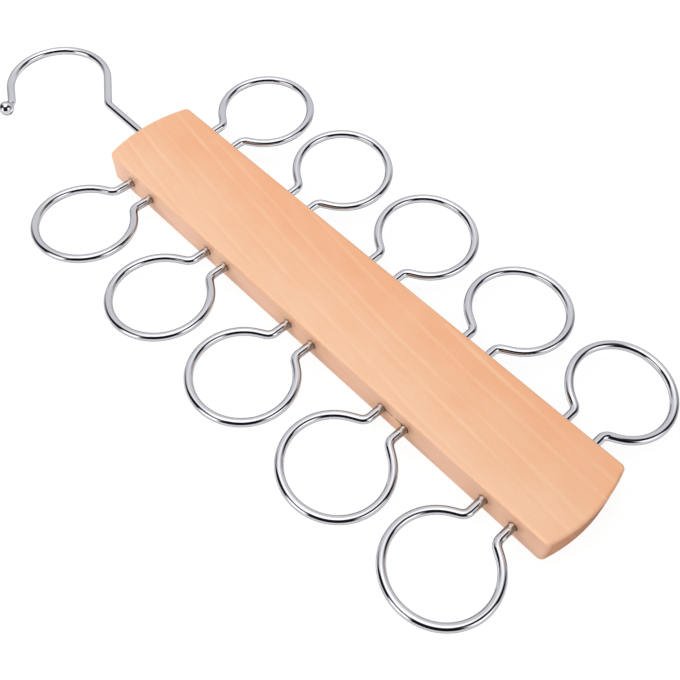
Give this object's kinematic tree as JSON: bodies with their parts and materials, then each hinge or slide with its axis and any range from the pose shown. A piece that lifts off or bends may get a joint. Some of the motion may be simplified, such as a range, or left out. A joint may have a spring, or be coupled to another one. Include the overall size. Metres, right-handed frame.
{
  "type": "scarf hanger",
  "caption": "Flat wooden board with a row of wire rings along each long side and a swivelling wire hook in one end, to hang scarves, ties and belts on a wardrobe rail.",
  "frame": {"origin": "middle of the board's back face, which the hanger lies on", "axes": "+X along the board from the hook to the foot, +Y to the board's right side, +Z out of its front face"},
  "size_m": [0.3933, 0.1704, 0.017],
  "materials": {
    "wood": "satin lacquer",
    "chrome": "polished",
    "bush": "moulded"
  },
  "bodies": {
    "hanger": {"board": "wood", "hook_bush": "bush", "ring_left_1": "chrome", "ring_left_2": "chrome", "ring_left_3": "chrome", "ring_left_4": "chrome", "ring_left_5": "chrome", "ring_right_1": "chrome", "ring_right_2": "chrome", "ring_right_3": "chrome", "ring_right_4": "chrome", "ring_right_5": "chrome"},
    "swivel_hook": {"hook": "chrome"}
  },
  "joints": [
    {"name": "hook_swivel", "type": "hinge", "parent": "hanger", "child": "swivel_hook", "pos_m": [-0.1485, 0, 0.0085], "axis": [-1, 0, 0], "continuous": true}
  ]
}
